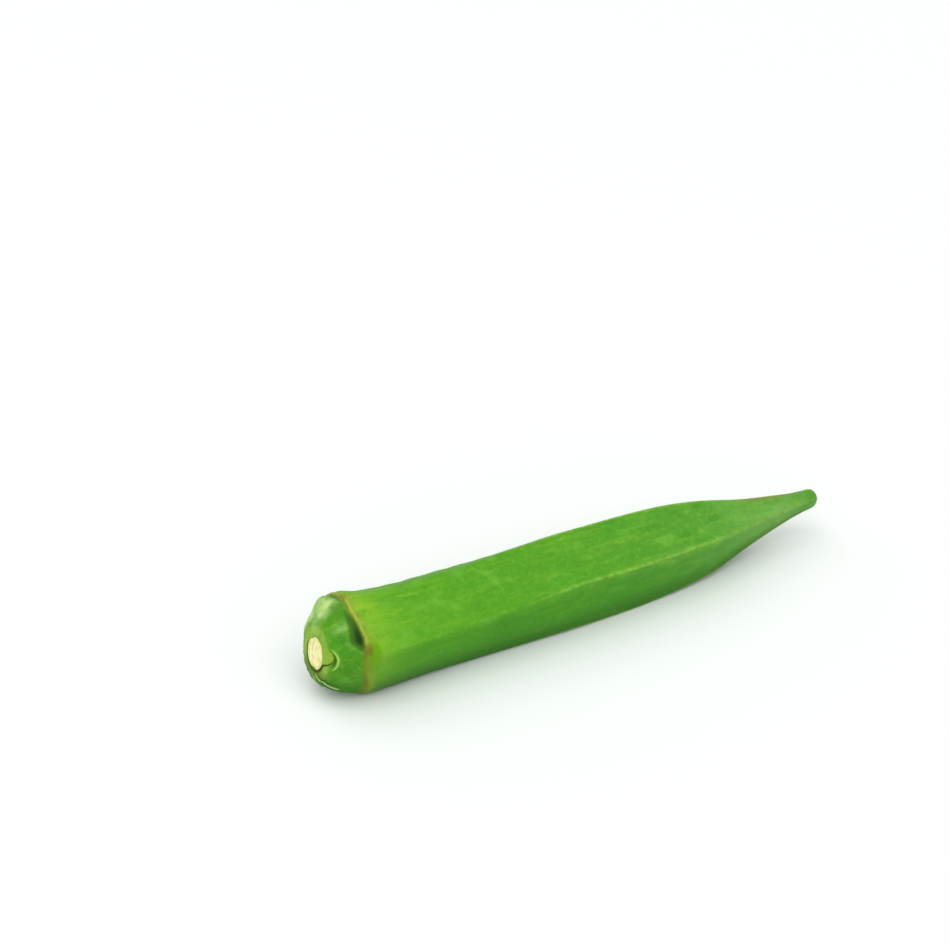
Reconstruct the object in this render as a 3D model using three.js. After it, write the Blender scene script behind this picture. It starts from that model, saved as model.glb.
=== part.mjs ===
// A fresh okra pod, cut from its plant and lying on a table. Millimetres, +Z up.
// The pod lies along X, with its cut stem end at -X and its pointed tip at +X.
// A place on the skin is a station, in mm from the stem end, and an angle round the pod:
// 0 degrees faces -Y, 90 degrees is the top and 270 degrees is the bottom.
import * as THREE from "three";

const { cos, sin, tan, atan2, sqrt, exp, abs, min, max, hypot, PI } = Math;
const DEGREE = PI / 180;
// A distance in mm too small to see: the step for a slope, and what keeps a division by 0 finite.
const SMALLEST = 0.01;

const LENGTH = 110;
const WIDEST_RADIUS = 9.1;

// The stem end: the round pith, flush in a blunt face that leads to the cap.
// The whole end slants a little, because the stem was cut askew.
const CUT_RADIUS = 2.85;
const FACE_RADIUS = 4.5;
const FACE_DEPTH = 0.3;
const FACE_SLANT = 12 * DEGREE;
const FACE_SLANT_PEAK = 100 * DEGREE;
const FACE_SETBACK = 0.4;
const FACE_SLANT_REACH = 5;

// A crevice runs round the pith, deeper on its lower side, and goes round the lobe beside it.
const CREVICE_DEPTH_TOP = 0.08;
const CREVICE_DEPTH_BOTTOM = 0.35;
const CREVICE_RADIUS = 3.1;
const CREVICE_WIDTH = 0.24;
const CREVICE_LOBE = 2.8;
const CREVICE_LOBE_AT = 18 * DEGREE;
const CREVICE_LOBE_REACH = 36 * DEGREE;

// The cap is a blunt dome from the stem's face to the widest ring.
const CAP_END = 8;
const CAP_BLUNTNESS = 1.7;

// The pod's mean radius from the widest ring to the tip, as [station, radius].
const BODY_RADIUS = [
  [8, 9.1], [13.5, 8.85], [20, 8.65], [32, 8.8], [50, 9.0], [62, 8.85],
  [72, 8.4], [80, 7.45], [92, 4.6], [100, 3.0], [105, 2.2], [110, 1.75],
];
const TIP_DOME = 1.5;

// The height of the pod's middle line above the table, as [station, height].
const MIDDLE_HEIGHT = [
  [0, 8.65], [7.2, 8.4], [14, 8.0], [40, 7.5], [66, 7.1],
  [84, 6.9], [92, 6.95], [100, 7.15], [110, 7.25],
];

// Five ridges run from the cap to the tip, with flatter faces between them.
const RIDGES = 5;
const SECTOR = (360 / RIDGES) * DEGREE;
const FIRST_RIDGE = 18 * DEGREE;
const RIDGE_SOFTNESS = 4 * DEGREE;
// How far the ridges wander round the pod, as [station, degrees].
const RIDGE_WANDER = [
  [0, 0], [14, -3], [30, -2], [42, 2.5], [50, 5.5],
  [58, 4.5], [66, 3.5], [76, 4.5], [90, 2], [110, 0],
];
const RIB_WIDTH = 0.55;
// How flat the faces are: 0 is a round section and 1 a five-sided one.
const FLATNESS = [
  [0, 0], [1.5, 0.45], [3, 0.6], [5, 0.45], [8, 0.3], [20, 0.48],
  [35, 0.62], [60, 0.75], [90, 0.85], [108, 0.3], [110, 0.1],
];
// How far the thin rib along each ridge stands out.
const RIB_HEIGHT = [
  [0, 0], [9, 0], [25, 0.08], [45, 0.16], [80, 0.22], [100, 0.14], [106, 0.06], [110, 0],
];

// The collar is the wavy scar where the calyx came off.
// Its lip is on the body's side of the line and its groove on the cap's side.
const COLLAR_AT = 5.5;
const COLLAR_REACH = 3.5;
const COLLAR_SWING = 0.75;
const COLLAR_SWING_PEAK = 80 * DEGREE;
const COLLAR_LOW_SWING = 1.4;
const COLLAR_LOW_AT = 310 * DEGREE;
const COLLAR_LOW_REACH = 65 * DEGREE;
const COLLAR_RIPPLE = 0.25;
const LIP_HEIGHT_TOP = 0.34;
const LIP_HEIGHT_BOTTOM = 0.06;
const LIP_OFFSET = 0.35;
const LIP_WIDTH = 0.38;
const GROOVE_DEPTH = 0.12;
const GROOVE_OFFSET = -0.3;
const GROOVE_WIDTH = 0.3;
// The cap dips under the collar in pockets, each with a steep end and a shallow one, in degrees.
const POCKETS = [
  { steep: 17, shallow: 84, depth: 1.2 },
  { steep: 95, shallow: 140, depth: 0.28 },
  { steep: 166, shallow: 225, depth: 0.95 },
  { steep: 236, shallow: 288, depth: 0.4 },
  { steep: 316, shallow: 350, depth: 0.18 },
];
const POCKET_STEEP_END = 20 * DEGREE;
const POCKET_DEEPEST = 0.5;
const POCKET_WIDTH_SHALLOW = 0.9;
const POCKET_WIDTH_STEEP = 2.9;

// On one face the skin swells out, in front of the collar and then over it, in degrees and mm.
const SWELLINGS = [
  { height: 0.95, middle: 126, reach: 38, rise: [1.4, 4.0], fall: [4.7, 5.5] },
  { height: 0.7, middle: 120, reach: 40, rise: [3.0, 5.4], fall: [6.2, 11.0] },
];

// The bracts round the stem left crescent scars: a low lobe, then a dent, then a raised lip.
const BRACT_SCARS = [
  { angle: 12, reach: 1.9, height: 0.36 },
  { angle: 88, reach: 1.3, height: 0.08 },
  { angle: 156, reach: 1.6, height: 0.15 },
  { angle: 224, reach: 1.6, height: 0.24 },
  { angle: 278, reach: 1.8, height: 0.3 },
];
const BRACT_SCAR_AT = 0.36;
const BRACT_LIP_WIDTH = 0.3;
const BRACT_DENT_OFFSET = 0.75;
const BRACT_DENT_SHARE = 0.9;
const BRACT_LOBE_SHARE = 0.5;

// The scars and the crevice fade out between these two stations.
const MARKS_FADE_START = 3;
const MARKS_FADE_END = 4.5;

// The skin's mesh: rings of points, closer together where the skin has more shape.
const RING_STATIONS = [
  ...evenly(0, FACE_DEPTH, 5), ...widening(FACE_DEPTH, 4, 13), ...evenly(4, 7.2, 14),
  ...evenly(7.2, 14, 6), ...evenly(14, LENGTH - TIP_DOME, 34),
];
const TIP_RINGS = 5;
// The columns of points between a ridge and the middle of the face beside it, in degrees from the ridge.
const COLUMNS_BY_RIDGE = [1.8, 4.5, 9, 15, 22, 29];

// `count` values from `start` up to, but not including, `end`.
function evenly(start, end, count) {
  return Array.from({ length: count }, (_, i) => start + ((end - start) * i) / count);
}

// The same, but closer together near `start`.
function widening(start, end, count) {
  return evenly(0, 1, count).map((share) => start + (end - start) * share ** 1.7);
}

// A smooth curve through [station, value] points that never overshoots them.
function through(points, station) {
  const last = points.length - 1;
  const at = min(max(station, points[0][0]), points[last][0]);
  const slope = (i) => (points[i + 1][1] - points[i][1]) / (points[i + 1][0] - points[i][0]);
  const tangent = (i) => {
    if (i === 0) return slope(0);
    if (i === last) return slope(last - 1);
    const [before, after] = [slope(i - 1), slope(i)];
    return before * after <= 0 ? 0 : (2 * before * after) / (before + after);
  };
  let i = 0;
  while (i < last - 1 && at > points[i + 1][0]) i += 1;
  const span = points[i + 1][0] - points[i][0];
  const t = (at - points[i][0]) / span;
  const rise = points[i + 1][1] - points[i][1];
  return points[i][1] + rise * t * t * (3 - 2 * t)
    + span * t * (1 - t) * (tangent(i) * (1 - t) - tangent(i + 1) * t);
}

// A smooth bump of height 1 at distance 0.
function bump(distance, width) {
  return exp(-((distance / width) ** 2));
}

// A smooth hump that is 1 at distance 0 and 0 from `reach` on.
function hump(distance, reach) {
  return abs(distance) < reach ? cos((distance / reach) * (PI / 2)) ** 2 : 0;
}

// 0 up to `start`, 1 from `end` on and a smooth rise between them.
function ease(value, start, end) {
  const t = min(max((value - start) / (end - start), 0), 1);
  return t * t * (3 - 2 * t);
}

// The angle from one direction round the pod to another, between -180 and 180 degrees.
function turn(angle, from) {
  return ((((angle - from) % (2 * PI)) + 3 * PI) % (2 * PI)) - PI;
}

function wander(station) {
  return through(RIDGE_WANDER, station) * DEGREE;
}

// The angle to the nearest ridge.
function fromRidge(station, angle) {
  const past = (((angle - wander(station) - FIRST_RIDGE) % SECTOR) + SECTOR) % SECTOR;
  return min(past, SECTOR - past);
}

function meanRadius(station) {
  if (station < FACE_DEPTH) {
    return CUT_RADIUS + ((FACE_RADIUS - CUT_RADIUS) * station) / FACE_DEPTH;
  }
  if (station < CAP_END) {
    const inward = (CAP_END - station) / (CAP_END - FACE_DEPTH);
    const dome = (1 - inward ** CAP_BLUNTNESS) ** (1 / CAP_BLUNTNESS);
    return FACE_RADIUS + (WIDEST_RADIUS - FACE_RADIUS) * dome;
  }
  const dome = max(0, (station - (LENGTH - TIP_DOME)) / TIP_DOME);
  return through(BODY_RADIUS, station) * sqrt(max(0, 1 - dome * dome));
}

// The angle at which the cap opens out from the pod's axis. The body counts as parallel to it.
function profileSlope(station) {
  const step = SMALLEST / 2;
  if (station >= CAP_END - step) return 0;
  const before = max(station - step, 0);
  const after = station + step;
  return atan2(meanRadius(after) - meanRadius(before), after - before);
}

// The section's share of the mean radius: 1 on the ridges and less on the faces between them.
function sectionShare(station, angle) {
  const half = SECTOR / 2;
  const rounded = (turned) => sqrt(turned * turned + RIDGE_SOFTNESS * RIDGE_SOFTNESS) - RIDGE_SOFTNESS;
  const off = (half * rounded(fromRidge(station, angle))) / rounded(half);
  return 1 - through(FLATNESS, station) * (1 - cos(half) / cos(half - off));
}

// How deep the pockets under the collar are.
function pocketDepth(station, angle) {
  const before = COLLAR_AT - station;
  return POCKETS.reduce((total, { steep, shallow, depth }) => {
    const along = turn(angle, steep * DEGREE);
    const share = min(max(1 - along / ((shallow - steep) * DEGREE), 0), 1);
    const opening = share * ease(along, 0, POCKET_STEEP_END);
    const width = POCKET_WIDTH_SHALLOW + (POCKET_WIDTH_STEEP - POCKET_WIDTH_SHALLOW) * opening;
    const across = ease(before, 0, POCKET_DEEPEST) * (1 - ease(before, POCKET_DEEPEST, width));
    return total + depth * opening * across;
  }, 0);
}

// The collar's lip, less its groove and the pockets under it.
function collarRelief(station, angle) {
  const past = station - COLLAR_AT;
  const lipHeight = LIP_HEIGHT_BOTTOM + ((LIP_HEIGHT_TOP - LIP_HEIGHT_BOTTOM) * (1 + sin(angle))) / 2;
  const lip = lipHeight * bump(past - LIP_OFFSET, LIP_WIDTH);
  const groove = GROOVE_DEPTH * bump(past - GROOVE_OFFSET, GROOVE_WIDTH);
  return lip - groove - pocketDepth(station, angle);
}

function swelling(station, angle) {
  return SWELLINGS.reduce((total, { height, middle, reach, rise, fall }) => {
    const across = hump(turn(angle, middle * DEGREE), reach * DEGREE);
    return total + height * across * ease(station, ...rise) * (1 - ease(station, ...fall));
  }, 0);
}

// The bract scars' lobes and lips, less their dents.
function bractRelief(station, angle) {
  const radius = meanRadius(station);
  const middleRadius = meanRadius(BRACT_SCAR_AT);
  return BRACT_SCARS.reduce((relief, { angle: middle, reach, height }) => {
    const off = turn(angle, middle * DEGREE);
    const outward = radius * cos(off) - middleRadius;
    const distance = hypot(outward, radius * sin(off), station - BRACT_SCAR_AT);
    const behind = (0.5 + (0.5 * outward) / (distance + SMALLEST)) ** 2;
    const lip = bump(distance - reach, BRACT_LIP_WIDTH);
    const dent = BRACT_DENT_SHARE * bump(distance - reach + BRACT_DENT_OFFSET, BRACT_LIP_WIDTH);
    const lobe = BRACT_LOBE_SHARE * bump(distance, reach / 2);
    return relief + height * (behind * (lip - dent) + lobe);
  }, 0);
}

function creviceDepth(station, angle) {
  const lobe = CREVICE_LOBE * hump(turn(angle, CREVICE_LOBE_AT), CREVICE_LOBE_REACH);
  const past = meanRadius(station) - CREVICE_RADIUS - lobe;
  const lowSide = ease((1 - sin(angle)) / 2, 0.2, 0.6);
  const depth = CREVICE_DEPTH_TOP + (CREVICE_DEPTH_BOTTOM - CREVICE_DEPTH_TOP) * lowSide;
  return depth * bump(past, CREVICE_WIDTH);
}

// How far the skin stands out from its plain shape, square to it.
function reliefAt(station, angle) {
  const rib = through(RIB_HEIGHT, station) * bump(meanRadius(station) * fromRidge(station, angle), RIB_WIDTH);
  const marks = bractRelief(station, angle) - creviceDepth(station, angle);
  const marksShare = 1 - ease(station, MARKS_FADE_START, MARKS_FADE_END);
  return rib + collarRelief(station, angle) + swelling(station, angle) + marks * marksShare;
}

// How far the skin is moved along the pod, by the slant of the stem end and the waves of the collar.
function shiftAt(station, angle) {
  const slant = FACE_SETBACK + tan(FACE_SLANT) * meanRadius(station) * cos(angle - FACE_SLANT_PEAK);
  const slantShare = max(0, 1 - station / FACE_SLANT_REACH) ** 2;
  const swing = COLLAR_SWING * cos(angle - COLLAR_SWING_PEAK);
  const lowSwing = COLLAR_LOW_SWING * hump(turn(angle, COLLAR_LOW_AT), COLLAR_LOW_REACH);
  const ripple = COLLAR_RIPPLE * sin(RIDGES * (angle - FIRST_RIDGE));
  return slant * slantShare + (swing + lowSwing + ripple) * hump(station - COLLAR_AT, COLLAR_REACH);
}

// The point of the skin at a station and angle. What would reach below the table is pressed flat on it.
function skinPoint(station, angle) {
  const slope = profileSlope(station);
  const relief = reliefAt(station, angle);
  const along = station + shiftAt(station, angle) - relief * sin(slope);
  const radius = meanRadius(station) * sectionShare(station, angle) + relief * cos(slope);
  const height = through(MIDDLE_HEIGHT, along) + radius * sin(angle);
  return new THREE.Vector3(along - LENGTH / 2, -radius * cos(angle), max(0, height));
}

function ringStations() {
  const tip = Array.from({ length: TIP_RINGS }, (_, i) => (
    LENGTH - TIP_DOME + TIP_DOME * sin((i * PI) / 2 / TIP_RINGS)
  ));
  return [...RING_STATIONS, ...tip];
}

function columnAngles() {
  const past = COLUMNS_BY_RIDGE.map((offset) => offset * DEGREE);
  const before = past.map((offset) => SECTOR - offset).reverse();
  return Array.from({ length: RIDGES }, (_, ridge) => (
    [0, ...past, SECTOR / 2, ...before].map((offset) => FIRST_RIDGE + ridge * SECTOR + offset)
  )).flat();
}

// The whole pod as one closed body: rings of skin, a fan over the cut face and a fan over the tip.
function podGeometry() {
  const angles = columnAngles();
  const rings = ringStations().map((station) => (
    angles.map((angle) => skinPoint(station, angle + wander(station)))
  ));
  const firstRing = rings[0];
  const cutMiddle = firstRing.reduce((sum, point) => sum.add(point), new THREE.Vector3())
    .divideScalar(firstRing.length);
  const tipPoint = skinPoint(LENGTH, 0);
  const points = [...rings.flat(), cutMiddle, tipPoint];
  const columns = angles.length;
  const cutIndex = points.length - 2;
  const tipIndex = points.length - 1;
  const lastRing = (rings.length - 1) * columns;
  const triangles = [];
  for (let column = 0; column < columns; column += 1) {
    const next = (column + 1) % columns;
    for (let start = 0; start < lastRing; start += columns) {
      const [a, b] = [start + column, start + next];
      triangles.push(a, b + columns, b, a, a + columns, b + columns);
    }
    triangles.push(cutIndex, column, next);
    triangles.push(tipIndex, lastRing + next, lastRing + column);
  }
  const geometry = new THREE.BufferGeometry().setFromPoints(points);
  geometry.setIndex(triangles);
  geometry.computeVertexNormals();
  return geometry;
}

function podMaterial() {
  return new THREE.MeshStandardMaterial({ color: 0x5a9a2c, roughness: 0.55, metalness: 0 });
}

// The pod with the origin under the middle of its box.
function okraPod() {
  const geometry = podGeometry();
  geometry.computeBoundingBox();
  const middle = geometry.boundingBox.getCenter(new THREE.Vector3());
  geometry.translate(-middle.x, -middle.y, -geometry.boundingBox.min.z);
  const pod = new THREE.Mesh(geometry, podMaterial());
  pod.name = "okra_pod";
  return pod;
}

const model = new THREE.Group();
model.add(okraPod());

export default model;
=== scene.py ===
# Dresses the okra pod: a fine skin with its ridges, scars and colours, the cut stem's pith, and fine down.
from math import cos, pi, radians, sin, tan

import bpy
import numpy as np
from mathutils import Matrix, Vector


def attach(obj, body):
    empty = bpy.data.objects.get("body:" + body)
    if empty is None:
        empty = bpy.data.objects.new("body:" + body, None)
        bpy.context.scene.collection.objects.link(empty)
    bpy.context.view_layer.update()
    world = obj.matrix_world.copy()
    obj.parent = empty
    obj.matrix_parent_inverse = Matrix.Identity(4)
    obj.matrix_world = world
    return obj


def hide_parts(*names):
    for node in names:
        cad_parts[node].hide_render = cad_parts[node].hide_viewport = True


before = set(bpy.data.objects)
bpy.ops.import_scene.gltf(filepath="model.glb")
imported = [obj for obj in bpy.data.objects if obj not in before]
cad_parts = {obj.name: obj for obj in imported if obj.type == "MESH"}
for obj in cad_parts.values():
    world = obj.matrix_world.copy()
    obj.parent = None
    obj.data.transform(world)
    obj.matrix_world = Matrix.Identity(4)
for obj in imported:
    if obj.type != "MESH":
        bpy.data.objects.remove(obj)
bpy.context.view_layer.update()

NODE = "okra_pod"
MM = 0.001

# The pod's shape, in mm, as its solid has it. A place on the skin is a station from the stem end
# and an angle round the pod, from 0 at -Y through 90 degrees at the top.
LENGTH = 110.0
WIDEST_RADIUS = 9.1
CUT_RADIUS = 2.85
FACE_RADIUS = 4.5
FACE_DEPTH = 0.3
FACE_SLANT = radians(12)
FACE_SLANT_PEAK = radians(100)
FACE_SETBACK = 0.4
FACE_SLANT_REACH = 5.0
CREVICE_DEPTH_TOP = 0.08
CREVICE_DEPTH_BOTTOM = 0.35
# The shares of the way down the pod between which the crevice deepens.
CREVICE_DEEPENS = (0.2, 0.6)
CREVICE_RADIUS = 3.1
CREVICE_WIDTH = 0.24
CREVICE_LOBE = 2.8
CREVICE_LOBE_AT = radians(18)
CREVICE_LOBE_REACH = radians(36)
CAP_END = 8.0
CAP_BLUNTNESS = 1.7
BODY_RADIUS = [
    (8, 9.1), (13.5, 8.85), (20, 8.65), (32, 8.8), (50, 9.0), (62, 8.85),
    (72, 8.4), (80, 7.45), (92, 4.6), (100, 3.0), (105, 2.2), (110, 1.75),
]
TIP_DOME = 1.5
MIDDLE_HEIGHT = [
    (0, 8.65), (7.2, 8.4), (14, 8.0), (40, 7.5), (66, 7.1),
    (84, 6.9), (92, 6.95), (100, 7.15), (110, 7.25),
]
RIDGES = 5
SECTOR = radians(360 / RIDGES)
FIRST_RIDGE = radians(18)
# How far the ridges wander round the pod, as (station, degrees).
RIDGE_WANDER = [
    (0, 0), (14, -3), (30, -2), (42, 2.5), (50, 5.5), (58, 4.5), (66, 3.5), (76, 4.5), (90, 2), (110, 0),
]
RIDGE_SOFTNESS = radians(4)
RIB_WIDTH = 0.55
FLATNESS = [
    (0, 0), (1.5, 0.45), (3, 0.6), (5, 0.45), (8, 0.3), (20, 0.48),
    (35, 0.62), (60, 0.75), (90, 0.85), (108, 0.3), (110, 0.1),
]
RIB_HEIGHT = [(0, 0), (9, 0), (25, 0.08), (45, 0.16), (80, 0.22), (100, 0.14), (106, 0.06), (110, 0)]
COLLAR_AT = 5.5
COLLAR_REACH = 3.5
COLLAR_SWING = 0.75
COLLAR_SWING_PEAK = radians(80)
COLLAR_LOW_SWING = 1.4
COLLAR_LOW_AT = radians(310)
COLLAR_LOW_REACH = radians(65)
COLLAR_RIPPLE = 0.25
LIP_HEIGHT_TOP = 0.34
LIP_HEIGHT_BOTTOM = 0.06
LIP_OFFSET = 0.35
LIP_WIDTH = 0.38
GROOVE_DEPTH = 0.12
GROOVE_OFFSET = -0.3
GROOVE_WIDTH = 0.3
# The pockets under the collar, as (angle of the steep end, angle of the shallow end, depth).
POCKETS = [(17, 84, 1.2), (95, 140, 0.28), (166, 225, 0.95), (236, 288, 0.4), (316, 350, 0.18)]
POCKET_STEEP_END = radians(20)
POCKET_DEEPEST = 0.5
POCKET_WIDTH_SHALLOW = 0.9
POCKET_WIDTH_STEEP = 2.9
# On one face the skin swells out, in front of the collar and then over it, as (height, angle of the
# middle, reach, stations between which it rises, stations between which it falls).
SWELLINGS = [(0.95, 126, 38, (1.4, 4.0), (4.7, 5.5)), (0.7, 120, 40, (3.0, 5.4), (6.2, 11.0))]
# The bract scars, as (angle, radius, height of the lip).
BRACT_SCARS = [(12, 1.9, 0.36), (88, 1.3, 0.08), (156, 1.6, 0.15), (224, 1.6, 0.24), (278, 1.8, 0.3)]
BRACT_SCAR_AT = 0.36
BRACT_LIP_WIDTH = 0.3
BRACT_DENT_OFFSET = 0.75
BRACT_DENT_SHARE = 0.9
BRACT_LOBE_SHARE = 0.5
# The scars and the crevice fade out between these two stations.
MARKS_FADE = (3, 4.5)
SMALLEST = 0.01

# The photograph's view: AIM, the collar's middle, is AIM_DEPTH mm from the lens and shows at AIM_PIXEL.
FRAME_PIXELS = 950
FOCAL_PIXELS = 2100
AZIMUTH = radians(-32)
ELEVATION = radians(28)
AIM = (7.2 - LENGTH / 2, 0.0, 8.6)
AIM_PIXEL = (350, 642)
AIM_DEPTH = 358.4
SENSOR_WIDTH = 36.0
NEAREST_SEEN = 0.01
FARTHEST_SEEN = 20


def through(points, station):
    """A smooth curve through (station, value) points that never overshoots them."""
    stations, values = np.array(points, float).T
    spans = np.diff(stations)
    slopes = np.diff(values) / spans
    before, after = slopes[:-1], slopes[1:]
    same_way = before * after > 0
    total = np.where(same_way, before + after, 1)
    tangents = np.concatenate([slopes[:1], np.where(same_way, 2 * before * after / total, 0), slopes[-1:]])
    at = np.clip(station, stations[0], stations[-1])
    i = np.clip(np.searchsorted(stations, at) - 1, 0, len(spans) - 1)
    t = (at - stations[i]) / spans[i]
    rise = (values[i + 1] - values[i]) * t * t * (3 - 2 * t)
    return values[i] + rise + spans[i] * t * (1 - t) * (tangents[i] * (1 - t) - tangents[i + 1] * t)


def bump(distance, width):
    return np.exp(-((distance / width) ** 2))


def hump(distance, reach):
    return np.where(np.abs(distance) < reach, np.cos(distance / reach * (pi / 2)) ** 2, 0)


def ease(value, start, end):
    """0 up to `start`, 1 from `end` on, and smooth between them."""
    t = np.clip((value - start) / (end - start), 0, 1)
    return t * t * (3 - 2 * t)


def turn(angle, start):
    return (angle - start + pi) % (2 * pi) - pi


def upper_share(angle):
    """1 on top of the pod and 0 underneath."""
    return 0.5 + 0.5 * np.sin(angle)


def wander(station):
    return np.radians(through(RIDGE_WANDER, station))


def from_ridge(station, angle):
    past = (angle - wander(station) - FIRST_RIDGE) % SECTOR
    return np.minimum(past, SECTOR - past)


def mean_radius(station):
    face = CUT_RADIUS + (FACE_RADIUS - CUT_RADIUS) * station / FACE_DEPTH
    inward = np.clip((CAP_END - station) / (CAP_END - FACE_DEPTH), 0, 1)
    cap = FACE_RADIUS + (WIDEST_RADIUS - FACE_RADIUS) * (1 - inward**CAP_BLUNTNESS) ** (1 / CAP_BLUNTNESS)
    dome = np.clip((station - (LENGTH - TIP_DOME)) / TIP_DOME, 0, 1)
    body = through(BODY_RADIUS, station) * np.sqrt(1 - dome * dome)
    return np.where(station < FACE_DEPTH, face, np.where(station < CAP_END, cap, body))


def profile_slope(station):
    """The angle at which the skin opens out from the pod's axis."""
    step = SMALLEST / 2
    before = np.maximum(station - step, 0)
    after = np.minimum(station + step, CAP_END)
    rise = mean_radius(after) - mean_radius(before)
    return np.where(station < CAP_END - step, np.arctan2(rise, after - before), 0)


def section_share(station, angle):
    half = SECTOR / 2

    def rounded(turned):
        return np.sqrt(turned * turned + RIDGE_SOFTNESS**2) - RIDGE_SOFTNESS

    off = half * rounded(from_ridge(station, angle)) / rounded(half)
    return 1 - through(FLATNESS, station) * (1 - cos(half) / np.cos(half - off))


def pocket_depth(station, angle):
    before = COLLAR_AT - station
    total = 0 * (station + angle)
    for steep, shallow, depth in POCKETS:
        along = turn(angle, radians(steep))
        share = np.clip(1 - along / radians(shallow - steep), 0, 1)
        opening = share * ease(along, 0, POCKET_STEEP_END)
        width = POCKET_WIDTH_SHALLOW + (POCKET_WIDTH_STEEP - POCKET_WIDTH_SHALLOW) * opening
        across = ease(before, 0, POCKET_DEEPEST) * (1 - ease(before, POCKET_DEEPEST, width))
        total = total + depth * opening * across
    return total


def collar_relief(station, angle):
    past = station - COLLAR_AT
    height = LIP_HEIGHT_BOTTOM + (LIP_HEIGHT_TOP - LIP_HEIGHT_BOTTOM) * upper_share(angle)
    lip = height * bump(past - LIP_OFFSET, LIP_WIDTH)
    groove = GROOVE_DEPTH * bump(past - GROOVE_OFFSET, GROOVE_WIDTH)
    return lip - groove - pocket_depth(station, angle)


def swelling(station, angle):
    total = 0 * (station + angle)
    for height, middle, reach, rise, fall in SWELLINGS:
        across = hump(turn(angle, radians(middle)), radians(reach))
        total = total + height * across * ease(station, *rise) * (1 - ease(station, *fall))
    return total


def bract_marks(station, angle):
    """The heights of the bract scars' lips, of their dents and of the lobes inside them."""
    radius = mean_radius(station)
    middle_radius = mean_radius(np.array(BRACT_SCAR_AT))
    lips, dents, lobes = (0 * (station + angle) for _ in range(3))
    for middle, reach, height in BRACT_SCARS:
        off = turn(angle, radians(middle))
        outward = radius * np.cos(off) - middle_radius
        distance = np.sqrt(outward**2 + (radius * np.sin(off)) ** 2 + (station - BRACT_SCAR_AT) ** 2)
        behind = (0.5 + 0.5 * outward / (distance + SMALLEST)) ** 2
        lips = lips + height * behind * bump(distance - reach, BRACT_LIP_WIDTH)
        dents = dents + height * behind * bump(distance - reach + BRACT_DENT_OFFSET, BRACT_LIP_WIDTH)
        lobes = lobes + height * bump(distance, reach / 2)
    near = 1 - ease(station, *MARKS_FADE)
    return lips * near, BRACT_DENT_SHARE * dents * near, BRACT_LOBE_SHARE * lobes * near


# What the fine skin has and the solid leaves out: soft waves, seeds that show faintly, streaks behind the
# collar and an uneven lip. A pair says over which stations, or how far from a ridge, each comes or goes.
WAVE_HEIGHT = 0.05
# The waves, as (mm for a radian along the pod, waves round it, share, phase).
WAVES = [(6.1, 2, 1.0, 0), (3.7, -3, 0.7, 1)]
BODY_START = (10, 18)
BODY_END = (92, 104)
SEED_SPACING = 4.7
SEED_HEIGHT = 0.035
SEED_LAG = 1.9
SEEDS_OFF_RIDGE = (radians(14), radians(30))
STREAKS = 52
STREAK_HEIGHT = 0.022
STREAKS_START = (7, 9)
STREAKS_END = (12, 36)
LIP_UNEVENNESS = 0.06
# A pale seam runs out from the pith over the cap, between two dark furrows. It bends beside the pith.
SEAM_AT = radians(313)
SEAM_BEND = radians(24)
SEAM_BEND_STATIONS = (0.1, 0.5)
SEAM_START = (0.05, 0.2)
SEAM_END = (2.0, 3.0)
SEAM_HEIGHT = 0.12
SEAM_WIDTH = 0.23
SEAM_FURROW_DEPTH = 0.16
SEAM_FURROW_OFFSET = 0.6


def seam_marks(station, angle):
    """The heights of the seam's ridge and of the furrows beside it."""
    seam_at = SEAM_AT - SEAM_BEND * (1 - ease(station, *SEAM_BEND_STATIONS))
    across = mean_radius(station) * turn(angle, seam_at)
    share = ease(station, *SEAM_START) * (1 - ease(station, *SEAM_END))
    furrows = bump(across - SEAM_FURROW_OFFSET, SEAM_WIDTH) + bump(across + SEAM_FURROW_OFFSET, SEAM_WIDTH)
    return SEAM_HEIGHT * share * bump(across, SEAM_WIDTH), SEAM_FURROW_DEPTH * share * furrows


def lip_unevenness(station, angle):
    """Small broken waves on the lip, strongest on top: 9, 23 and 51 of them round the pod."""
    swaying = 23 * angle + 2 * np.sin(2 * angle)
    broken = np.sin(9 * angle + 0.5) + 0.8 * np.sin(swaying) + 0.5 * np.sin(51 * angle)
    on_lip = bump(station - COLLAR_AT - LIP_OFFSET, LIP_WIDTH) * upper_share(angle)
    return LIP_UNEVENNESS * broken * on_lip


def fine_relief(station, angle):
    on_body = ease(station, *BODY_START) * (1 - ease(station, *BODY_END))
    waves = 0
    for along, around, share, phase in WAVES:
        waves = waves + share * np.sin(station / along + around * angle + phase)
    face = np.floor((angle - FIRST_RIDGE) / SECTOR)
    seeds = np.cos(2 * pi * station / SEED_SPACING + SEED_LAG * face)
    seeds = seeds * ease(from_ridge(station, angle), *SEEDS_OFF_RIDGE)
    swaying = STREAKS * angle + 0.8 * np.sin(station / 4.3) + 2 * np.sin(3 * angle)
    streaks = np.sin(swaying) * ease(station, *STREAKS_START) * (1 - ease(station, *STREAKS_END))
    seam, furrows = seam_marks(station, angle)
    body = on_body * (WAVE_HEIGHT * waves + SEED_HEIGHT * seeds) + STREAK_HEIGHT * streaks
    return body + lip_unevenness(station, angle) + seam - furrows


def past_crevice(station, angle):
    """How far a place lies outside the crevice that runs round the pith and round one lobe beside it."""
    lobe = CREVICE_LOBE * hump(turn(angle, CREVICE_LOBE_AT), CREVICE_LOBE_REACH)
    return mean_radius(station) - CREVICE_RADIUS - lobe


def crevice_depth(station, angle):
    deep_share = ease(1 - upper_share(angle), *CREVICE_DEEPENS)
    depth = CREVICE_DEPTH_TOP + (CREVICE_DEPTH_BOTTOM - CREVICE_DEPTH_TOP) * deep_share
    near = 1 - ease(station, *MARKS_FADE)
    return depth * bump(past_crevice(station, angle), CREVICE_WIDTH) * near


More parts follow.
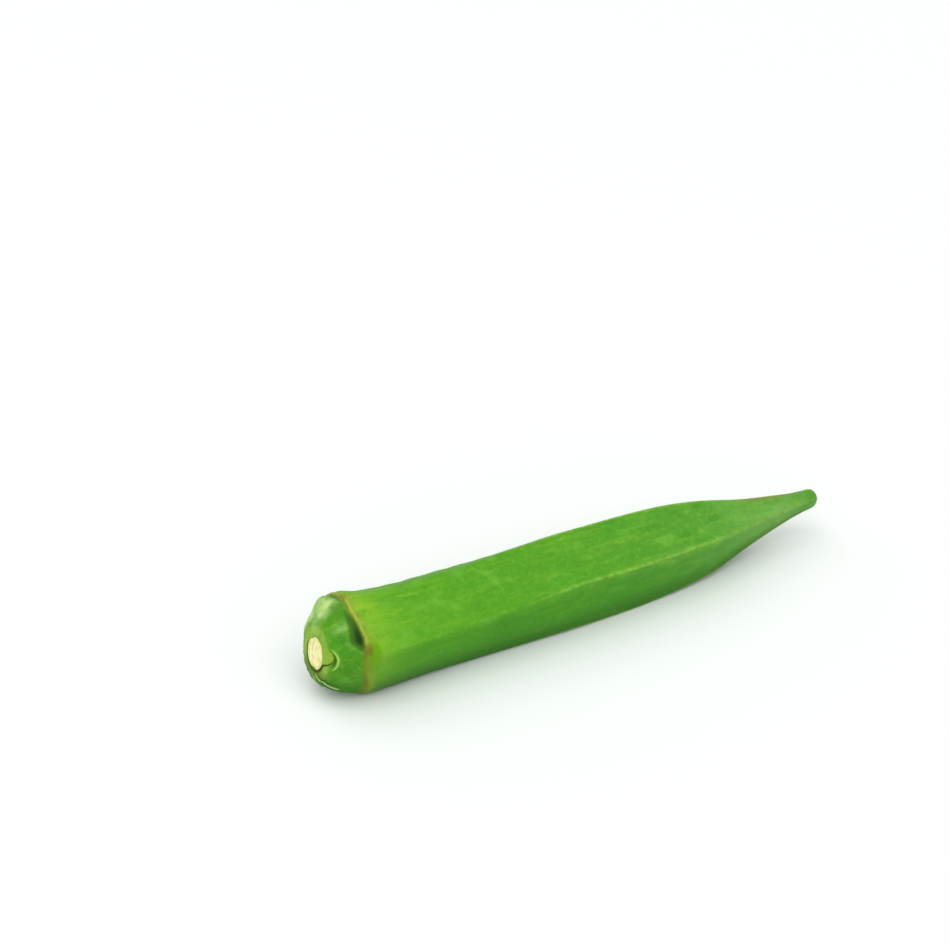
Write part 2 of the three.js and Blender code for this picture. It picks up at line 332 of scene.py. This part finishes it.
def relief_at(station, angle):
    """How far the skin stands out from its plain shape, square to it."""
    rib = through(RIB_HEIGHT, station) * bump(mean_radius(station) * from_ridge(station, angle), RIB_WIDTH)
    lips, dents, lobes = bract_marks(station, angle)
    marks = lips - dents + lobes - crevice_depth(station, angle)
    plain = rib + collar_relief(station, angle) + swelling(station, angle)
    return plain + marks + fine_relief(station, angle)


def shift_at(station, angle):
    slant = FACE_SETBACK + tan(FACE_SLANT) * mean_radius(station) * np.cos(angle - FACE_SLANT_PEAK)
    slant_share = np.maximum(0, 1 - station / FACE_SLANT_REACH) ** 2
    swing = COLLAR_SWING * np.cos(angle - COLLAR_SWING_PEAK)
    low_swing = COLLAR_LOW_SWING * hump(turn(angle, COLLAR_LOW_AT), COLLAR_LOW_REACH)
    ripple = COLLAR_RIPPLE * np.sin(RIDGES * (angle - FIRST_RIDGE))
    return slant * slant_share + (swing + low_swing + ripple) * hump(station - COLLAR_AT, COLLAR_REACH)


def skin_points(station, angle):
    """Points of the skin in metres, in the pod's frame."""
    slope = profile_slope(station)
    relief = relief_at(station, angle)
    along = station + shift_at(station, angle) - relief * np.sin(slope)
    radius = mean_radius(station) * section_share(station, angle) + relief * np.cos(slope)
    height = through(MIDDLE_HEIGHT, along) + radius * np.sin(angle)
    points = np.stack([along - LENGTH / 2, -radius * np.cos(angle), np.maximum(0, height)], -1)
    return points * MM


# The steps, in mm and in radians, that the skin's outward directions are taken over.
STEP_ALONG = 0.02
STEP_AROUND = 0.004


def skin_normals(station, angle):
    """Outward directions of the skin."""
    along = skin_points(station + STEP_ALONG, angle) - skin_points(station - STEP_ALONG, angle)
    around = skin_points(station, angle + STEP_AROUND) - skin_points(station, angle - STEP_AROUND)
    normals = np.cross(around, along)
    outward = np.stack([0 * normals[..., 0], -np.cos(angle) + 0 * station, np.sin(angle) + 0 * station], -1)
    normals *= np.sign((normals * outward).sum(-1, keepdims=True))
    return normals / (np.linalg.norm(normals, axis=-1, keepdims=True) + 1e-12)


def mesh_object(name, points, faces, material, attributes=None):
    """A smooth mesh that rides on the pod, with one float attribute for each named list of values."""
    mesh = bpy.data.meshes.new(name)
    mesh.from_pydata(points, [], faces)
    for label, values in (attributes or {}).items():
        attribute = mesh.attributes.new(label, "FLOAT", "POINT")
        attribute.data.foreach_set("value", np.ravel(values).astype(np.float32))
    mesh.shade_smooth()
    mesh.materials.append(material)
    piece = bpy.data.objects.new(name, mesh)
    bpy.context.collection.objects.link(piece)
    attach(piece, "root")
    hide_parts(NODE)
    return piece


def ring_faces(rings, columns):
    """Quads between rings of points that close on themselves."""
    row, column = np.meshgrid(np.arange(rings - 1), np.arange(columns), indexing="ij")
    start = (row * columns + column).ravel()
    after = (row * columns + (column + 1) % columns).ravel()
    return np.stack([start, start + columns, after + columns, after], -1)


class Nodes:
    """Short names for the shader nodes that the materials are made of."""

    def __init__(self, name):
        self.material = bpy.data.materials.new(name)
        self.material.use_nodes = True
        self.tree = self.material.node_tree
        self.shader = self.tree.nodes["Principled BSDF"]
        self.place = self.add("ShaderNodeTexCoord").outputs["Object"]

    def add(self, kind, inputs=(), **settings):
        node = self.tree.nodes.new(kind)
        for key, value in settings.items():
            setattr(node, key, value)
        for key, value in dict(inputs).items():
            self.put(node.inputs[key], value)
        return node

    def put(self, socket, value):
        if isinstance(value, bpy.types.NodeSocket):
            self.tree.links.new(value, socket)
        else:
            socket.default_value = value

    def attribute(self, name):
        return self.add("ShaderNodeAttribute", attribute_name=name).outputs["Fac"]

    def noise(self, size, detail=3.0, stretch=(1, 1, 1), roughness=0.5):
        """Noise with lumps of about `size` mm, drawn out `stretch` times along each axis."""
        scale = [1 / (size * MM * factor) for factor in stretch]
        mapping = self.add("ShaderNodeMapping", {"Vector": self.place, "Scale": scale})
        inputs = {"Vector": mapping.outputs[0], "Scale": 1.0, "Detail": detail, "Roughness": roughness}
        return self.add("ShaderNodeTexNoise", inputs).outputs["Fac"]

    def math(self, operation, first, second=0.0):
        return self.add("ShaderNodeMath", {0: first, 1: second}, operation=operation).outputs[0]

    def band(self, value, start, end, low=0.0, high=1.0):
        """`low` up to `start`, `high` from `end` on, and smooth between them."""
        inputs = {"Value": value, "From Min": start, "From Max": end, "To Min": low, "To Max": high}
        return self.add("ShaderNodeMapRange", inputs, interpolation_type="SMOOTHSTEP").outputs[0]

    def peak(self, value, middle, width):
        """1 where the value is `middle`, falling to 0 at `width` from it."""
        away = self.math("ABSOLUTE", self.math("SUBTRACT", value, middle))
        return self.band(away, 0.0, width, 1.0, 0.0)

    def times(self, *factors):
        product = factors[0]
        for factor in factors[1:]:
            product = self.math("MULTIPLY", product, factor)
        return product

    def mix(self, factor, first, second):
        """`first` where the factor is 0 and `second` where it is 1."""
        node = self.add("ShaderNodeMix", data_type="RGBA")
        self.put(node.inputs[0], factor)
        self.put(node.inputs[6], first)
        self.put(node.inputs[7], second)
        return node.outputs[2]

    def ramp(self, value, stops):
        """Colours at places from 0 to 1."""
        node = self.add("ShaderNodeValToRGB", {"Fac": value})
        elements = node.color_ramp.elements
        while len(elements) < len(stops):
            elements.new(0.5)
        for element, (place, colour) in zip(elements, stops):
            element.position = place
            element.color = colour
        return node.outputs["Color"]

    def bump(self, height, distance, strength, normal=None):
        inputs = {"Height": height, "Distance": distance * MM, "Strength": strength}
        if normal is not None:
            inputs["Normal"] = normal
        return self.add("ShaderNodeBump", inputs).outputs["Normal"]

    def finish(self, **sockets):
        for key, value in sockets.items():
            self.put(self.shader.inputs[key.replace("_", " ")], value)
        return self.material


def srgb(red, green, blue):
    """A colour given as it looks on screen, from 0 to 255, as linear light."""
    def linear(value):
        value /= 255
        return value / 12.92 if value <= 0.04045 else ((value + 0.055) / 1.055) ** 2.4
    return (linear(red), linear(green), linear(blue), 1.0)


# The skin's ground colour along the pod, as (station, colour).
GROUND = [
    (0, srgb(80, 138, 14)), (2.5, srgb(66, 132, 8)), (4.6, srgb(64, 130, 8)), (5.6, srgb(88, 146, 20)),
    (6.6, srgb(124, 164, 32)), (8.5, srgb(126, 180, 34)), (12, srgb(104, 167, 30)), (18, srgb(86, 156, 24)),
    (32, srgb(78, 150, 20)), (50, srgb(78, 149, 28)), (68, srgb(78, 146, 38)), (84, srgb(86, 152, 50)),
    (98, srgb(112, 166, 74)), (106, srgb(90, 150, 60)), (110, srgb(70, 130, 50)),
]
# The stem end's ground colour, by the distance from the pod's axis, and where it goes over into the other.
END_GROUND = [
    (2.8, srgb(132, 168, 48)), (3.4, srgb(146, 180, 62)), (4.4, srgb(138, 174, 56)),
    (5.0, srgb(98, 150, 26)), (6.2, srgb(70, 134, 10)),
]
END_FADE = (6.0, 7.0)
END_REACH = 8.0
# What lies over the ground colour.
COLOURS = {
    # Paler skin with painted highlight over it on the cap's upper facet and its soft folds.
    "bloom_and_highlight": srgb(204, 232, 148),
    # Painted shade on the cap beside the pockets under the collar.
    "shade": srgb(44, 106, 8),
    "patch": srgb(66, 146, 20),
    "light cloud": srgb(120, 186, 64),
    "deep cloud": srgb(52, 126, 18),
    "light mottle": srgb(112, 180, 52),
    "deep mottle": srgb(58, 132, 18),
    "light streak": srgb(166, 204, 52),
    "deep streak": srgb(72, 150, 22),
    "grain": srgb(134, 194, 84),
    # Painted shade on the lower faces, and painted contact shadow along the bottom.
    "underside by the collar": srgb(78, 140, 24),
    "underside": srgb(44, 122, 8),
    "contact shadow": srgb(28, 84, 8),
    "ridge": srgb(142, 190, 70),
    "browned ridge": srgb(126, 124, 60),
    "behind the collar": srgb(136, 158, 40),
    "olive": srgb(96, 150, 0),
    "lip below": srgb(122, 134, 34),
    "lip on top": srgb(164, 174, 68),
    # The groove is brown below; its darker colour on top is painted shadow under the lip.
    "groove below": srgb(116, 112, 28),
    "groove's shadow on top": srgb(84, 108, 14),
    "browned collar": srgb(104, 98, 14),
    # Painted shade in the pockets under the collar, darkest in their depths.
    "pocket's edge": srgb(50, 90, 26),
    "pocket": srgb(26, 54, 10),
    "scar's lobe": srgb(140, 176, 52),
    "scar's lip": srgb(160, 200, 98),
    # Painted shade in the scars' dents and in the furrows beside the seam.
    "scar's dent": srgb(56, 92, 8),
    "furrow": srgb(58, 84, 22),
    "seam": srgb(178, 202, 130),
    "lobe by the pith": srgb(134, 170, 48),
    # Painted shade in the crevice round the pith, darker below than on top.
    "crevice below": srgb(52, 66, 8),
    "crevice on top": srgb(100, 132, 16),
    "tip's end": srgb(84, 82, 36),
    "sheen": srgb(214, 240, 170),
}


class SkinNodes(Nodes):
    """The skin's nodes, with the places and the noises that its colours share."""

    def __init__(self):
        super().__init__("okra_skin")
        self.station = self.attribute("station")
        self.ridge = self.attribute("ridge_distance")
        self.height = self.attribute("height_share")
        self.out = self.math("DIVIDE", self.attribute("end_radius"), END_REACH)
        self.near_collar = self.times(self.band(self.station, 28, 7), self.band(self.station, 5, 7))
        self.patches = self.noise(6.0, detail=2.0, stretch=(2.0, 1, 1))
        self.clouds = self.noise(2.2, detail=3.0, stretch=(1.8, 1, 1), roughness=0.55)
        self.mottles = self.noise(0.9, detail=4.0, roughness=0.6)

    def mark(self, colour, name, share):
        """The colour with the named one over it by that share."""
        return self.mix(share, colour, COLOURS[name])


def ground_colour(n):
    along = n.ramp(n.math("DIVIDE", n.station, LENGTH), [(at / LENGTH, shade) for at, shade in GROUND])
    end = n.ramp(n.out, [(radius / END_REACH, shade) for radius, shade in END_GROUND])
    fade = [radius / END_REACH for radius in END_FADE]
    return n.mix(n.band(n.out, *fade, 1.0, 0.0), along, end)


def add_mottling(n, colour):
    """Paler skin with painted highlight and painted shade on the cap, broad patches, clouds, small mottles,
    streaks along the pod, and grain.
    """
    streaks = n.noise(1.0, detail=3.0, stretch=(11, 1, 1), roughness=0.6)
    grain = n.noise(0.22, detail=2.0)
    streak_share = n.band(n.near_collar, 0.0, 1.0, 0.1, 0.2)
    # Paler skin and painted highlight on the cap's upper facet and its soft folds.
    colour = n.mark(colour, "bloom_and_highlight", n.times(n.attribute("bloom_and_highlight"), n.band(n.clouds, 0.3, 0.62, 0.65, 1.0)))
    # Painted shade on the cap beside the pockets under the collar.
    colour = n.mark(colour, "shade", n.times(n.attribute("shade"), n.band(n.clouds, 0.3, 0.6, 0.6, 1.0)))
    colour = n.mark(colour, "patch", n.band(n.patches, 0.35, 0.7, 0.0, 0.42))
    colour = n.mark(colour, "light cloud", n.band(n.clouds, 0.52, 0.72, 0.0, 0.34))
    colour = n.mark(colour, "deep cloud", n.band(n.clouds, 0.46, 0.28, 0.0, 0.38))
    colour = n.mark(colour, "light mottle", n.band(n.mottles, 0.5, 0.7, 0.0, 0.3))
    colour = n.mark(colour, "deep mottle", n.band(n.mottles, 0.48, 0.3, 0.0, 0.28))
    colour = n.mark(colour, "light streak", n.times(n.band(streaks, 0.5, 0.66), streak_share))
    colour = n.mark(colour, "deep streak", n.times(n.band(streaks, 0.48, 0.32), streak_share))
    return n.mark(colour, "grain", n.band(grain, 0.55, 0.75, 0.0, 0.18))


def add_underside_shade(n, colour):
    """Painted shade on the lower faces by the collar and along the body, and a darker painted contact shadow
    along the bottom.
    """
    low = n.band(n.height, 0.67, 0.52)
    by_collar = n.times(low, n.band(n.near_collar, 0.2, 1.0, 0.0, 0.6))
    on_body = n.times(n.band(n.station, 8, 16, 0.0, 0.42), n.band(n.station, 90, 50, 0.35, 1.0))
    colour = n.mark(colour, "underside by the collar", by_collar)
    colour = n.mark(colour, "underside", n.times(low, on_body))
    return n.mark(colour, "contact shadow", n.band(n.height, 0.4, 0.08, 0.0, 0.6))


def add_ridges(n, colour):
    """Paler ridges, browned in places towards the tip."""
    along = n.times(n.band(n.station, 34, 50), n.band(n.station, 92, 76, 0.3, 1.0))
    pale = n.times(n.band(n.ridge, 0.5, 0.1), along, n.band(n.mottles, 0.35, 0.65, 0.15, 0.6))
    near_tip = n.times(n.band(n.station, 86, 96), n.band(n.station, 108, 101))
    browned = n.times(n.band(n.ridge, 0.9, 0.15), near_tip, n.band(n.patches, 0.4, 0.6, 0.1, 0.7))
    colour = n.mark(colour, "ridge", pale)
    return n.mark(colour, "browned ridge", browned)


def add_collar(n, colour):
    """The green behind the collar, its tan and brown lip, its groove, brown below and with painted shadow
    under the lip on top, and painted shade in the pockets under it.
    """
    unevenness = n.band(n.noise(2.4, detail=5.0, roughness=0.6), 0.3, 0.7, -0.28, 0.28)
    ragged = n.math("ADD", n.attribute("past_collar"), unevenness)
    behind = n.times(n.band(ragged, 0.1, 0.5), n.band(ragged, 2.8, 0.8))
    behind = n.times(behind, n.band(n.patches, 0.35, 0.65, 0.1, 0.5))
    olive = n.times(n.band(n.attribute("olive"), 0.1, 0.7), n.band(n.mottles, 0.3, 0.6, 0.7, 0.95))
    on_lip = n.times(n.peak(ragged, 0.3, 1.0), n.band(n.mottles, 0.3, 0.6, 0.5, 0.85))
    on_lip = n.times(on_lip, n.band(n.height, 0.35, 0.7, 0.5, 1.0))
    lip = n.mix(n.band(n.height, 0.6, 0.8), COLOURS["lip below"], COLOURS["lip on top"])
    # The groove is brown below and darker on top, where painted shadow lies under the lip.
    in_groove = n.times(n.peak(ragged, -0.2, 0.55), n.band(n.patches, 0.3, 0.6, 0.2, 0.8))
    groove = n.mix(n.band(n.height, 0.5, 0.75), COLOURS["groove below"], COLOURS["groove's shadow on top"])
    browned = n.times(n.attribute("brown"), n.band(n.clouds, 0.3, 0.6, 0.6, 1.0))
    pocket = n.attribute("pocket")
    colour = n.mark(colour, "behind the collar", behind)
    colour = n.mark(colour, "olive", olive)
    colour = n.mix(on_lip, colour, lip)
    colour = n.mix(in_groove, colour, groove)
    colour = n.mark(colour, "browned collar", browned)
    # Painted shade in the pockets under the collar, darkest in their depths.
    colour = n.mark(colour, "pocket's edge", n.band(pocket, 0.01, 0.3, 0.0, 0.75))
    return n.mark(colour, "pocket", n.band(pocket, 0.35, 0.8, 0.0, 0.9))


def add_scars(n, colour):
    """The scars' pale lips, yellow-green lobes and dents darkened with painted shade, the seam with painted
    shade in the furrows beside it, and painted shade in the crevice round the pith, darker below.
    """
    on_lip = n.band(n.attribute("scar_lip"), 0.06, 0.22, 0.0, 0.75)
    on_lip = n.times(on_lip, n.band(n.height, 0.4, 0.5, 0.25, 1.0))
    on_lobe = n.times(n.band(n.attribute("inside_crevice"), 0.1, 0.5), n.band(n.out, 0.36, 0.42))
    on_lobe = n.times(on_lobe, n.band(n.mottles, 0.3, 0.6, 0.5, 0.9))
    # Painted shade in the crevice round the pith, darker below than on top.
    crevice = n.mix(n.band(n.height, 0.35, 0.75), COLOURS["crevice below"], COLOURS["crevice on top"])
    colour = n.mark(colour, "scar's lobe", n.band(n.attribute("scar_lobe"), 0.04, 0.14, 0.0, 0.7))
    colour = n.mark(colour, "scar's lip", on_lip)
    # Painted shade in the scars' dents and in the furrows beside the seam.
    colour = n.mark(colour, "scar's dent", n.band(n.attribute("scar_dent"), 0.06, 0.2, 0.0, 0.8))
    colour = n.mark(colour, "furrow", n.band(n.attribute("furrow"), 0.03, 0.13, 0.0, 0.85))
    colour = n.mark(colour, "seam", n.band(n.attribute("seam"), 0.03, 0.1, 0.0, 0.85))
    colour = n.mark(colour, "lobe by the pith", on_lobe)
    return n.mix(n.band(n.attribute("crevice"), 0.05, 0.16, 0.0, 0.85), colour, crevice)


def skin_material():
    n = SkinNodes()
    colour = ground_colour(n)
    for add in (add_mottling, add_underside_shade, add_ridges, add_collar, add_scars):
        colour = add(n, colour)
    colour = n.mark(colour, "tip's end", n.band(n.station, 109.2, 109.8, 0.0, 0.5))
    normal = n.bump(n.noise(0.6, detail=4.0, stretch=(14, 1, 1)), 0.03, 0.4)
    normal = n.bump(n.noise(0.32, detail=3.0), 0.035, 0.5, normal)
    return n.finish(
        Base_Color=colour, Normal=normal, Roughness=n.band(n.mottles, 0.3, 0.7, 0.5, 0.64), IOR=1.4,
        Specular_IOR_Level=0.22, Subsurface_Weight=0.05, Subsurface_Scale=0.001,
        Subsurface_Radius=(0.6, 1.0, 0.3),
        Sheen_Weight=0.03, Sheen_Roughness=0.4, Sheen_Tint=COLOURS["sheen"],
    )


def cut_material():
    """The cut stem: cream pith with fibres and a thin brown edge."""
    n = Nodes("okra_cut_stem")
    out = n.attribute("outward")
    fibres = n.noise(0.55, detail=4.0, stretch=(1, 1, 4), roughness=0.6)
    grain = n.noise(0.16, detail=3.0)
    pith = n.mix(n.band(fibres, 0.45, 0.66, 0.0, 0.9), srgb(244, 240, 176), srgb(204, 184, 124))
    pith = n.mix(n.band(grain, 0.58, 0.72, 0.0, 0.25), pith, srgb(190, 166, 104))
    pith = n.mix(n.band(out, 0.6, 0.88, 0.0, 0.5), pith, srgb(214, 214, 122))
    colour = n.mix(n.band(out, 0.94, 0.99), pith, srgb(112, 122, 30))
    normal = n.bump(fibres, 0.1, 0.8)
    return n.finish(
        Base_Color=colour, Normal=normal, Roughness=n.band(grain, 0.3, 0.7, 0.6, 0.8),
        Subsurface_Weight=0.1, Subsurface_Scale=0.0006,
    )


def down_material():
    """The fine pale hairs."""
    n = Nodes("okra_down")
    shade = n.mix(n.noise(2.0), srgb(150, 196, 96), srgb(190, 216, 142))
    return n.finish(Base_Color=shade, Roughness=0.5)


# The cap's paler patches, partly a paler skin and partly painted highlight, its darker patches of painted
# shade beside the pockets, and the browned places on the collar, as (angle, reach, first station, last
# station, share).
BLOOMS_AND_HIGHLIGHTS = [
    (134, 54, 0.1, 6.0, 1.35), (97, 19, 0.7, 3.9, 0.2), (118, 16, 0.05, 1.0, 0.2), (168, 34, 0.3, 4.0, 0.7),
    (57, 6, 0.5, 5.0, 0.3), (60, 14, 0.8, 5.6, 0.1), (205, 36, 0.8, 5.0, 0.5), (280, 30, 1.0, 5.0, 0.35),
]
# Painted shade on the cap beside the pockets under the collar.
PAINTED_SHADES = [
    (34, 24, 0.9, 6.2, 0.65), (88, 12, 2.8, 5.6, 0.35), (172, 20, 1.0, 5.6, 0.4), (246, 22, 1.0, 5.6, 0.4),
]
BROWNS = [
    (22, 9, 4.9, 7.1, 0.75), (100, 14, 5.1, 6.6, 0.5), (208, 12, 5.1, 6.8, 0.5), (300, 20, 5.2, 6.8, 0.4),
]
PATCH_CORE = 0.3
PATCH_RAMP = 0.35


def patch_share(patches, station, angle):
    total = 0 * (station + angle)
    for middle, reach, first, last, share in patches:
        off = np.abs(turn(angle, radians(middle)))
        across = 1 - ease(off, radians(PATCH_CORE * reach), radians(reach))
        ramp = PATCH_RAMP * (last - first)
        along = ease(station, first, first + ramp) * (1 - ease(station, last - ramp, last))
        total = total + share * across * along
    return np.minimum(total, 1)


# The middle of the olive patch behind the collar and how far it reaches, as (station, degrees).
OLIVE_AT = (7.1, 15)
OLIVE_REACH = (2.6, 25)


def olive_share(station, angle):
    off = turn(angle, radians(OLIVE_AT[1]))
    return hump(station - OLIVE_AT[0], OLIVE_REACH[0]) * hump(off, radians(OLIVE_REACH[1]))


FACE_ROWS = 16
CAP_ROWS = 110
CAP_ROWS_WIDEN = 1.7
SHOULDER_END = 20
SHOULDER_ROWS = 40
BODY_ROWS = 215
TIP_ROWS = 12
RING_STATIONS = np.concatenate([
    np.linspace(0, FACE_DEPTH, FACE_ROWS, endpoint=False),
    FACE_DEPTH + (CAP_END - FACE_DEPTH) * np.linspace(0, 1, CAP_ROWS, endpoint=False) ** CAP_ROWS_WIDEN,
    np.linspace(CAP_END, SHOULDER_END, SHOULDER_ROWS, endpoint=False),
    np.linspace(SHOULDER_END, LENGTH - TIP_DOME, BODY_ROWS, endpoint=False),
    LENGTH - TIP_DOME * (1 - np.sin(np.linspace(0, pi / 2, TIP_ROWS, endpoint=False))),
])
COLUMNS = 250


def skin_grid():
    """The stations and angles of the fine skin, whose columns follow the ridges."""
    station, column = np.meshgrid(RING_STATIONS, np.arange(COLUMNS) * 2 * pi / COLUMNS, indexing="ij")
    return station, column + wander(station)


def centring():
    """The middle of the skin's box, which lies over the origin as the solid's does."""
    points = skin_points(*skin_grid()).reshape(-1, 3)
    middle = (points.min(0) + points.max(0)) / 2
    return np.array([middle[0], middle[1], 0])


def skin_piece(offset):
    station, angle = skin_grid()
    lips, dents, lobes = bract_marks(station, angle)
    seam, furrows = seam_marks(station, angle)
    attributes = {
        "station": station,
        "end_radius": np.where(station < CAP_END, mean_radius(station), WIDEST_RADIUS),
        "height_share": upper_share(angle),
        "past_collar": station - COLLAR_AT,
        "ridge_distance": from_ridge(station, angle) * mean_radius(station),
        "pocket": pocket_depth(station, angle),
        "scar_lip": lips,
        "scar_dent": dents,
        "scar_lobe": lobes,
        "crevice": crevice_depth(station, angle),
        "seam": seam,
        "furrow": furrows,
        "olive": olive_share(station, angle),
        "bloom_and_highlight": patch_share(BLOOMS_AND_HIGHLIGHTS, station, angle),
        "shade": patch_share(PAINTED_SHADES, station, angle),
        "brown": patch_share(BROWNS, station, angle),
        "inside_crevice": np.where(station < MARKS_FADE[1], -past_crevice(station, angle), 0),
    }
    attributes = {name: np.append(values.ravel(), values[-1].mean()) for name, values in attributes.items()}
    tip = skin_points(np.array([LENGTH]), np.array([0.0]))
    points = np.concatenate([skin_points(station, angle).reshape(-1, 3), tip]) - offset
    faces = ring_faces(len(RING_STATIONS), COLUMNS).tolist()
    last = (len(RING_STATIONS) - 1) * COLUMNS
    faces += [[last + i, len(points) - 1, last + (i + 1) % COLUMNS] for i in range(COLUMNS)]
    return mesh_object("okra_skin", points.tolist(), faces, skin_material(), attributes)


CUT_RINGS = 40
INNERMOST_RING = 0.005
PITH_RISE = 0.12
PITH_EDGE = 0.9
PITH_EDGE_SLOPE = 0.2
# The pith's ragged edge, as (share, waves round it, phase), and the shares of the way out between which
# it comes, it goes, and the pith goes down to the rim.
PITH_RAGGED = [(0.05, 2, pi / 2), (0.05, 3, pi), (0.035, 7, 2)]
RAGGED_START = (0, 0.5)
RAGGED_END = (0.9, 1)
PITH_END = (0.97, 1)
FIBRES = 23
FIBRE_HEIGHT = 0.03


def cut_piece(offset):
    """The stem's cut face: fibrous pith that stands a little proud of a ragged edge."""
    shares = np.linspace(1, INNERMOST_RING, CUT_RINGS)
    share, angle = np.meshgrid(shares, np.arange(COLUMNS) * 2 * pi / COLUMNS, indexing="ij")
    rim = skin_points(np.zeros(COLUMNS), angle[0])
    middle = rim.mean(0)
    ragged = sum(depth * np.sin(waves * angle + phase) for depth, waves, phase in PITH_RAGGED)
    outward = share * (1 - ragged * ease(share, *RAGGED_START) * (1 - ease(share, *RAGGED_END)))
    lift = PITH_RISE * (1 - ease(outward, PITH_EDGE - PITH_EDGE_SLOPE, PITH_EDGE))
    lift = lift + FIBRE_HEIGHT * np.sin(FIBRES * angle) * share * (1 - share)
    points = middle + (rim - middle)[None] * share[..., None]
    points[..., 0] -= lift * (1 - ease(share, *PITH_END)) * MM
    points = np.concatenate([points.reshape(-1, 3), [middle - [PITH_RISE * MM, 0, 0]]]) - offset
    faces = ring_faces(CUT_RINGS, COLUMNS)[:, ::-1].tolist()
    last = (CUT_RINGS - 1) * COLUMNS
    faces += [[last + (i + 1) % COLUMNS, len(points) - 1, last + i] for i in range(COLUMNS)]
    outward = np.append(outward.ravel(), 0)
    return mesh_object("okra_cut_face", points.tolist(), faces, cut_material(), {"outward": outward})


HAIRS = 9000
HAIR_SEED = 11
HAIR_LENGTH = (0.18, 0.4)
HAIR_RADIUS = 0.01
HAIRS_START = 7.5
HAIRS_END = LENGTH - 1
HAIRS_ON_RIDGES = 0.35
HAIRS_OFF_RIDGE = radians(2.5)
HAIR_LEAN = (0.2, 0.9)
HAIR_SIDE_LEAN = 0.25
HAIR_CLEARANCE = 0.2


def down_piece(offset):
    """Short fine hairs that lean towards the tip, thicker along the ridges."""
    draw = np.random.default_rng(HAIR_SEED)
    station = draw.uniform(HAIRS_START, HAIRS_END, HAIRS)
    angle = draw.uniform(0, 2 * pi, HAIRS)
    near_ridge = draw.random(HAIRS) < HAIRS_ON_RIDGES
    ridge = FIRST_RIDGE + SECTOR * draw.integers(0, RIDGES, HAIRS) + draw.normal(0, HAIRS_OFF_RIDGE, HAIRS)
    angle = np.where(near_ridge, ridge + wander(station), angle)
    root = skin_points(station, angle) - offset
    normal = skin_normals(station, angle)
    lean = [draw.uniform(*HAIR_LEAN, HAIRS)] + [draw.normal(0, HAIR_SIDE_LEAN, HAIRS) for _ in range(2)]
    direction = normal + np.stack(lean, -1)
    direction /= np.linalg.norm(direction, axis=-1, keepdims=True)
    side = np.cross(direction, normal + SMALLEST)
    side /= np.linalg.norm(side, axis=-1, keepdims=True) + 1e-9
    other = np.cross(direction, side)
    length = draw.uniform(*HAIR_LENGTH, HAIRS)[:, None] * MM
    off_floor = root[:, 2] > HAIR_CLEARANCE * MM
    corners = [
        root + HAIR_RADIUS * MM * (cos(turned) * side + sin(turned) * other)
        for turned in (0, 2 * pi / 3, 4 * pi / 3)
    ]
    points = np.stack([*corners, root + direction * length], 1)[off_floor]
    points[..., 2] = np.maximum(points[..., 2], 0)
    starts = np.arange(len(points))[:, None] * points.shape[1]
    faces = np.concatenate([starts + np.array(side_face) for side_face in ((0, 1, 3), (1, 2, 3), (2, 0, 3))])
    return mesh_object("okra_down", points.reshape(-1, 3).tolist(), faces.tolist(), down_material())


# The floor's half width, in metres.
FLOOR_REACH = 4.0
FLOOR_COLOUR = (0.845, 0.873, 0.862, 1)


def floor():
    mesh = bpy.data.meshes.new("floor")
    corners = [(-1, -1), (1, -1), (1, 1), (-1, 1)]
    mesh.from_pydata([(x * FLOOR_REACH, y * FLOOR_REACH, 0) for x, y in corners], [], [(0, 1, 2, 3)])
    n = Nodes("floor")
    mesh.materials.append(n.finish(Base_Color=FLOOR_COLOUR, Roughness=0.7, Specular_IOR_Level=0.2))
    piece = bpy.data.objects.new("floor", mesh)
    bpy.context.collection.objects.link(piece)


def camera_axes():
    look = Vector((-sin(AZIMUTH) * cos(ELEVATION), cos(AZIMUTH) * cos(ELEVATION), -sin(ELEVATION)))
    right = Vector((cos(AZIMUTH), sin(AZIMUTH), 0))
    return right, right.cross(look), look


def camera(offset):
    right, up, look = camera_axes()
    across = (AIM_PIXEL[0] - FRAME_PIXELS / 2) / FOCAL_PIXELS
    above = (FRAME_PIXELS / 2 - AIM_PIXEL[1]) / FOCAL_PIXELS
    data = bpy.data.cameras.new("camera")
    data.sensor_width = SENSOR_WIDTH
    data.lens = SENSOR_WIDTH * FOCAL_PIXELS / FRAME_PIXELS
    data.clip_start = NEAREST_SEEN
    data.clip_end = FARTHEST_SEEN
    piece = bpy.data.objects.new("camera", data)
    bpy.context.collection.objects.link(piece)
    turned = Matrix((right, up, -look)).transposed().to_4x4()
    position = (Vector(AIM) - AIM_DEPTH * (look + across * right + above * up)) * MM - Vector(offset)
    piece.matrix_world = Matrix.Translation(position) @ turned
    bpy.context.scene.camera = piece


# Soft daylight from the left and behind, a softer fill from the front, and an even sky.
# Each lamp is given as (name, direction as right, ahead and up in the view, strength, spread in degrees).
LAMPS = [
    ("daylight", (-0.75, 0.55, 1.0), 0.85, 70),
    ("fill", (0.1, -0.7, 1.0), 2.1, 90),
]
SKY_STRENGTH = 0.45


def lights():
    right, _, look = camera_axes()
    ahead = Vector((look.x, look.y, 0)).normalized()
    for name, (across, along, up), strength, spread in LAMPS:
        source = right * across + ahead * along + Vector((0, 0, up))
        data = bpy.data.lights.new(name, "SUN")
        data.energy = strength
        data.angle = radians(spread)
        piece = bpy.data.objects.new(name, data)
        bpy.context.collection.objects.link(piece)
        piece.matrix_world = source.to_track_quat("Z", "Y").to_matrix().to_4x4()
    world = bpy.data.worlds.new("sky")
    world.use_nodes = True
    background = world.node_tree.nodes["Background"]
    background.inputs["Color"].default_value = (1, 1, 1, 1)
    background.inputs["Strength"].default_value = SKY_STRENGTH
    bpy.context.scene.world = world


offset = centring()
camera(offset)
lights()
floor()
skin_piece(offset)
cut_piece(offset)
down_piece(offset)
bpy.context.scene.view_settings.view_transform = "Standard"
